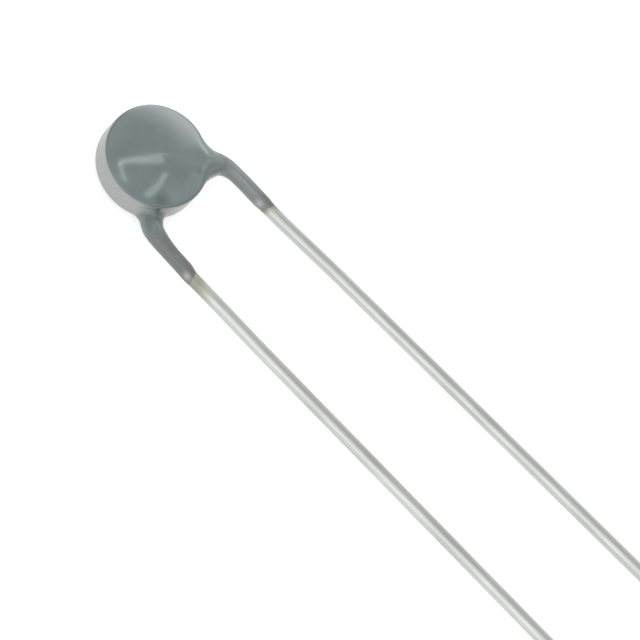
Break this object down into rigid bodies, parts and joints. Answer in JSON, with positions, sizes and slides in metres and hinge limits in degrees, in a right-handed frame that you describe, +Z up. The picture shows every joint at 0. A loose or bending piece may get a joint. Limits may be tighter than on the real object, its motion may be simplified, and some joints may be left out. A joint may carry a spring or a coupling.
{
  "type": "disc thermistor",
  "caption": "Small lacquered disc thermistor with two tinned wire leads that run side by side, for sensing or compensating temperature on a circuit board.",
  "frame": {"origin": "on the table surface, at the middle of the lying part's footprint", "axes": "+X along the leads towards their tips, +Y towards the front lead, +Z up, out of the disc's front face"},
  "size_m": [0.0364, 0.0064, 0.002],
  "materials": {
    "lacquer": "glossy dipped grey-green lacquer",
    "ceramic": "matt sintered oxide ceramic",
    "fired_silver": "matt fired silver",
    "solder": "satin solder",
    "tinned_wire": "satin hot-dipped tin over copper"
  },
  "bodies": {
    "root": {"coating": "lacquer", "ceramic_disc": "ceramic", "front_electrode": "fired_silver", "rear_electrode": "fired_silver", "front_solder": "solder", "rear_solder": "solder", "front_lead": "tinned_wire", "rear_lead": "tinned_wire"}
  },
  "joints": []
}
